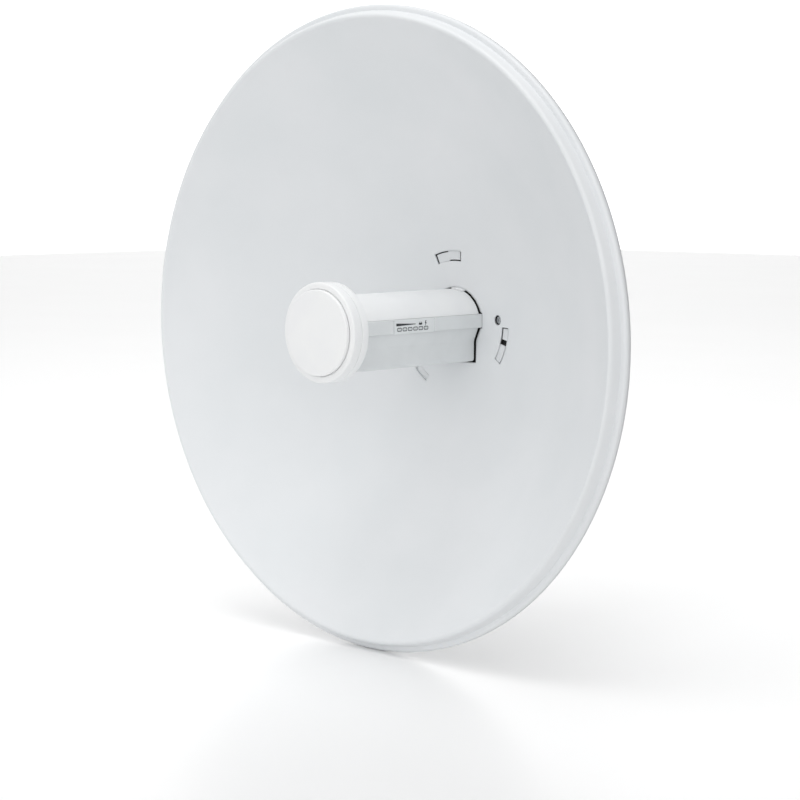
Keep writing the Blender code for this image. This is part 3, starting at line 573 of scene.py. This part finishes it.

# A punched near black ring between the sheet and the flange: painted shade that keeps the slots dark.
t = np.linspace(-math.pi, math.pi, 361)[:-1]
inner = outline_radius(hole, t) + 0.0004
rows = [(inner, 0.00124), (inner * 0 + 0.0420, 0.00124), (inner * 0 + 0.0535, 0.00124), (inner * 0 + 0.0535, 0.00145),
        (inner * 0 + 0.0420, 0.00145), (inner, 0.00145), (inner, 0.00124)]
grid = []
for radius, behind in rows:
    x, z = radius * np.cos(t), radius * np.sin(t)
    grid.append(np.stack([x, LIP_Y + bowl_depth(np.hypot(x, z + DISH_DROP)) + behind, z], -1))
dress(closed_up(surface("hub_gasket", np.stack(grid), around=True)), painted_shade_black, crease=30)

# Zinc plated steel: a bright grey metal with a faint cloudy grain from the plating.
zinc, tree, shader = new_material("zinc_plated_steel", 0.32, None, 1.0)
place = add(tree, "ShaderNodeTexCoord", {}, {}).outputs["Object"]
cloud = add(tree, "ShaderNodeTexNoise", {}, {"Vector": place, "Scale": 260.0, "Detail": 4.0})
tint = add(tree, "ShaderNodeValToRGB", {}, {"Fac": cloud.outputs["Fac"]})
tint.color_ramp.elements[0].position, tint.color_ramp.elements[0].color = 0.3, linear("B2B5B8")
tint.color_ramp.elements[1].position, tint.color_ramp.elements[1].color = 0.7, linear("C8CACC")
gloss = add(tree, "ShaderNodeMapRange", {}, {"Value": cloud.outputs["Fac"], "To Min": 0.25, "To Max": 0.42})
tree.links.new(tint.outputs["Color"], shader.inputs["Base Color"])
tree.links.new(gloss.outputs["Result"], shader.inputs["Roughness"])
# A pan head machine screw: head 5.2 mm across with a cross recess.
r = np.concatenate([np.linspace(0, 0.0025, 26), [0.0026, 0.0026, 0.0]])[:, None]
t = np.linspace(0, 2 * math.pi, 96, endpoint=False)[None]
across = np.minimum(np.abs(r * np.cos(t + 0.5)), np.abs(r * np.sin(t + 0.5)))
recess = 0.0006 * np.clip((0.00042 - across) / 0.00012, 0, 1) * np.clip((0.0016 - r) / 0.0003, 0, 1)
depth = 0.0834 + 0.0005 * (r / 0.0026) ** 2 + recess
depth[-2:] = 0.0845
place = SCREW_PLACE[0] + r * np.cos(t), LIP_Y + depth, SCREW_PLACE[1] + r * np.sin(t)
dress(closed_up(surface("screw_pan_head", np.stack(place, -1), around=True)), zinc,
      ["locking_screw"])


def hexagon(t, height, outer, blunt):
    """Factor on a corner radius: cos 30 / cos(t mod 60 - 30) on the outer rows, at most blunt; 1 elsewhere."""
    flat = math.cos(math.pi / 6) / np.cos(np.mod(t, math.pi / 3) - math.pi / 6)
    return np.where(outer[:, None], np.minimum(flat[None], blunt[:, None]), 1.0)


def hex_piece(name, centre, axis, radius, low, high, bore, slot_nodes, washer=None):
    """A chamfered hexagon between two heights with a bore, or closed in the middle when bore is 0."""
    step = 0.0006
    rows = [(bore, low), (radius, low), (radius, low + step), (radius, high - step), (radius, high), (bore, high)]
    blunt = [1, 0.90, 2, 2, 0.90, 1]
    outer = [0, 1, 1, 1, 1, 0]
    if washer:
        rows = [(bore, washer[1]), (washer[0] - 0.0002, washer[1]), (washer[0], washer[1] + 0.0002),
                (washer[0], washer[2] - 0.0002), (washer[0] - 0.0002, washer[2])] + rows[1:]
        blunt = [1] * 5 + blunt[1:]
        outer = [0] * 5 + outer[1:]
    if bore:
        rows.append(rows[0])
        blunt.append(1)
        outer.append(0)
    outer, blunt = np.array(outer, bool), np.array(blunt, float)
    piece = spun(name, rows, centre, axis, 72, lambda t, h: hexagon(t, h, outer, blunt))
    return dress(piece, zinc, slot_nodes, crease=25)


for number, (side, level) in enumerate(((-1, -1), (-1, 1), (1, -1), (1, 1)), 1):
    hex_piece(f"base_screw_{number}", (side * 0.0170, LIP_Y, level * 0.0290), "y", 0.0052, 0.1319, 0.1351, 0.0,
              [f"bracket_screw_{number}"], (0.0060, 0.1311, 0.1319))
for name, z in (("pivot", -0.0140), ("lock", 0.0160)):
    centre = (0, LIP_Y + 0.1580, z)
    hex_piece(name + "_bolt_head", centre, "x", 0.0075, 0.0331, 0.0391, 0.0, [], (0.0090, 0.0316, 0.0331))
    hex_piece(name + "_nut_turned", centre, "x", 0.0075, -0.0391, -0.0331, 0.0041, [name + "_nut"])
    ring = rounded([(0.0043, -0.0331), (0.0090, -0.0331), (0.0090, -0.0316), (0.0043, -0.0316)], 0.0002, 3, ring=True)
    dress(spun(name + "_nut_washer", np.vstack([ring, ring[:1]]), centre, "x", 72), zinc)
    h = np.concatenate([[-0.0431, -0.0431], np.linspace(-0.0428, -0.0290, 100), [-0.0288, 0.0317, 0.0317]])
    r = np.concatenate([[0.0, 0.0030], np.full(100, 0.0036), [0.0036, 0.0036, 0.0]])
    cut = (h > -0.0429) & (h < -0.0289)
    shank = spun(name + "_bolt_shank", np.stack([r, h], -1), centre, "x", 48,
                 lambda t, height: 1 + np.where(cut[:, None], 0.06 * np.cos(t[None] + height * 2 * math.pi / 0.00125), 0))
    dress(shank, zinc, [name + "_bolt"])

# Moulded black EPDM: the gland in the door, ribbed so that it bends with the cable.
rubber, tree, shader = new_material("moulded_black_rubber", 0.75, 1.52)
place = add(tree, "ShaderNodeTexCoord", {}, {}).outputs["Object"]
bloom = add(tree, "ShaderNodeTexNoise", {}, {"Vector": place, "Scale": 300.0, "Detail": 3.0})
tint = add(tree, "ShaderNodeValToRGB", {}, {"Fac": bloom.outputs["Fac"]})
tint.color_ramp.elements[0].position, tint.color_ramp.elements[0].color = 0.3, linear("1A1B1C")
tint.color_ramp.elements[1].position, tint.color_ramp.elements[1].color = 0.7, linear("262829")
tree.links.new(tint.outputs["Color"], shader.inputs["Base Color"])
z = np.linspace(-0.0502, -0.0590, 61)
skin = 0.0062 + 0.0005 * np.cos((z + 0.0502) * 2 * math.pi / 0.0022)
profile = [(0.0, -0.0466), (0.0083, -0.0466), (0.0085, -0.0468), (0.0085, -0.0489), (0.0082, -0.0492)]
profile += list(zip(skin, z)) + [(0.0060, -0.0596), (0.0035, -0.0596), (0.0035, -0.0481), (0.0, -0.0481)]
dress(spun("gland_boot", profile, (0, LIP_Y + 0.1080, 0), "z", 64), rubber, ["cable_gland"], crease=50)

# The rear housing
# A moulded drum closed by a screwed cover, with a sliding door over the cable socket. The door has four ribs on
# each side of the gland for a fingertip. All are textured ASA.
refined("rear_housing", moulded_hub, 0.0003)
refined("rear_cover", moulded_hub, 0.0004)
refined("cable_door", moulded_hub, 0.0003)
for number, edge_x in enumerate((-0.0161, -0.0147, -0.0133, -0.0119, 0.0113, 0.0127, 0.0141, 0.0155), 1):
    rib = [(edge_x, -0.0470), (edge_x + 0.0006, -0.0470), (edge_x + 0.0006, -0.0462), (edge_x, -0.0462)]
    dress(prism(f"door_rib_{number}", rib, 0.1010, 0.1150), moulded_hub, edge=0.0002)

# The tilt bracket
# Plates of 3 mm steel, cut, welded and powder coated white: one on the rear cover with two ears, and one for
# the pole with two more. A pivot bolt and a lock bolt in a curved slot join them.
bracket_coat, tree, shader = new_material("powder_coated_steel_white", 0.45, 1.50)
place = add(tree, "ShaderNodeTexCoord", {}, {}).outputs["Object"]
cloud = add(tree, "ShaderNodeTexNoise", {}, {"Vector": place, "Scale": 30.0, "Detail": 3.0})
tint = add(tree, "ShaderNodeValToRGB", {}, {"Fac": cloud.outputs["Fac"]})
tint.color_ramp.elements[0].position, tint.color_ramp.elements[0].color = 0.3, linear("DFE2E4")
tint.color_ramp.elements[1].position, tint.color_ramp.elements[1].color = 0.7, linear("E5E8EA")
peel = add(tree, "ShaderNodeTexNoise", {}, {"Vector": place, "Scale": 500.0, "Detail": 2.0})
bump = add(tree, "ShaderNodeBump", {}, {"Height": peel.outputs["Fac"], "Strength": 0.12, "Distance": 0.0004})
tree.links.new(tint.outputs["Color"], shader.inputs["Base Color"])
tree.links.new(bump.outputs["Normal"], shader.inputs["Normal"])
for node in ("tilt_base", "tilt_ear_right", "tilt_ear_left", "pole_plate", "pole_ear_right", "pole_ear_left"):
    refined(node, bracket_coat, 0.0006)
# The ears are welded: a rippled bead runs down both faces of each, under the paint.
z = np.linspace(-0.026, 0.026, 157)
ripple = 0.0017 * (1 + 0.07 * np.cos(z * 2 * math.pi / 0.0024)) * np.clip((0.0262 - np.abs(z)) / 0.002, 0.3, 1)
t = np.linspace(0, math.pi / 2, 8)
for name, base, turn_y, faces in (("tilt", 0.1309, 1, (0.0250, 0.0280)), ("pole", 0.2009, -1, (0.0283, 0.0313))):
    for side in (-1, 1):
        for face, out in zip(faces, (-1, 1)):
            u = np.concatenate([[0.0], np.cos(t)]) * ripple[:, None]
            v = np.concatenate([[0.0], np.sin(t)]) * ripple[:, None]
            x = side * (face + out * (u - 0.0001))
            y = LIP_Y + base + turn_y * (v - 0.0001)
            grid = np.stack([x, y, np.repeat(z[:, None], x.shape[1], 1)], -1)
            bead = closed_up(surface(f"{name}_weld_{side}_{out}", grid, around=True, caps=True))
            dress(bead, bracket_coat, crease=60)

# The floor, the lights and the camera
# A plain white sweep under a large soft light from above and in front, as in a product photograph.
floor_paint, tree, shader = new_material("painted_board_white", 0.30, 1.45)
place = add(tree, "ShaderNodeTexCoord", {}, {}).outputs["Object"]
cloud = add(tree, "ShaderNodeTexNoise", {}, {"Vector": place, "Scale": 3.0, "Detail": 2.0})
tint = add(tree, "ShaderNodeValToRGB", {}, {"Fac": cloud.outputs["Fac"]})
tint.color_ramp.elements[0].position, tint.color_ramp.elements[0].color = 0.3, linear("FAFAFA")
tint.color_ramp.elements[1].position, tint.color_ramp.elements[1].color = 0.7, linear("FCFCFC")
tree.links.new(tint.outputs["Color"], shader.inputs["Base Color"])
edge = np.linspace(-6, 6, 5)
x, y = np.meshgrid(edge, edge, indexing="ij")
floor = surface("floor", np.stack([x, y, np.full(x.shape, -0.2121)], -1))
floor.data.flip_normals()
floor.data.materials.append(floor_paint)

world = bpy.data.worlds.new("studio")
bpy.context.scene.world = world
world.use_nodes = True
sky = world.node_tree
direction = add(sky, "ShaderNodeTexCoord", {}, {}).outputs["Generated"]
glow = None
for aim, narrow, power in (
        ((0, 0, 1), 0, 0.04), ((0.145, -0.965, 0.241), 5, 0.62), ((0.808, -0.505, 0.303), 8, 1.07),
        ((-0.609, -0.609, 0.508), 8, 0.60), ((-0.688, 0.718, 0.100), 6, 1.56)):
    toward = add(sky, "ShaderNodeVectorMath", {"operation": "DOT_PRODUCT"}, {0: direction, 1: aim})
    half = add(sky, "ShaderNodeMath", {"operation": "MULTIPLY_ADD"}, {0: toward.outputs["Value"], 1: 0.5, 2: 0.5})
    peak = add(sky, "ShaderNodeMath", {"operation": "POWER"}, {0: half.outputs["Value"], 1: narrow})
    part = add(sky, "ShaderNodeMath", {"operation": "MULTIPLY"}, {0: peak.outputs["Value"], 1: power})
    if glow:
        part = add(sky, "ShaderNodeMath", {"operation": "ADD"}, {0: glow, 1: part.outputs["Value"]})
    glow = part.outputs["Value"]
sky.nodes["Background"].inputs["Color"].default_value = (1, 1, 1, 1)
sky.links.new(glow, sky.nodes["Background"].inputs["Strength"])


def soft_light(name, place, target, size, power):
    """A square light that looks at a point."""
    data = bpy.data.lights.new(name, "AREA")
    data.shape = "SQUARE"
    data.size = size
    data.energy = power
    light = bpy.data.objects.new(name, data)
    light.location = place
    light.rotation_mode = "QUATERNION"
    light.rotation_quaternion = (Vector(target) - Vector(place)).to_track_quat("-Z", "Y")
    bpy.context.scene.collection.objects.link(light)


soft_light("top_softbox", (0.0, -0.5, 2.4), (0, -0.15, 0), 2.0, 29.5)

DISH_RADIUS = 0.210
turn, rise = math.radians(43.804), math.radians(6.274)
back = Vector((math.sin(turn) * math.cos(rise), -math.cos(turn) * math.cos(rise), math.sin(rise)))
right = Vector((math.cos(turn), math.sin(turn), 0))
up = back.cross(right)
camera_data = bpy.data.cameras.new("camera")
camera = bpy.data.objects.new("camera", camera_data)
camera.location = (0.09393 * right - 0.21054 * up + 6.20209 * back) * DISH_RADIUS + Vector((0, LIP_Y, -DISH_DROP))
camera.rotation_mode = "QUATERNION"
camera.rotation_quaternion = (-back).to_track_quat("-Z", "Y")
camera_data.sensor_width = 36.0
camera_data.lens = 90.0
bpy.context.scene.collection.objects.link(camera)
bpy.context.scene.camera = camera

bpy.context.view_layer.update()
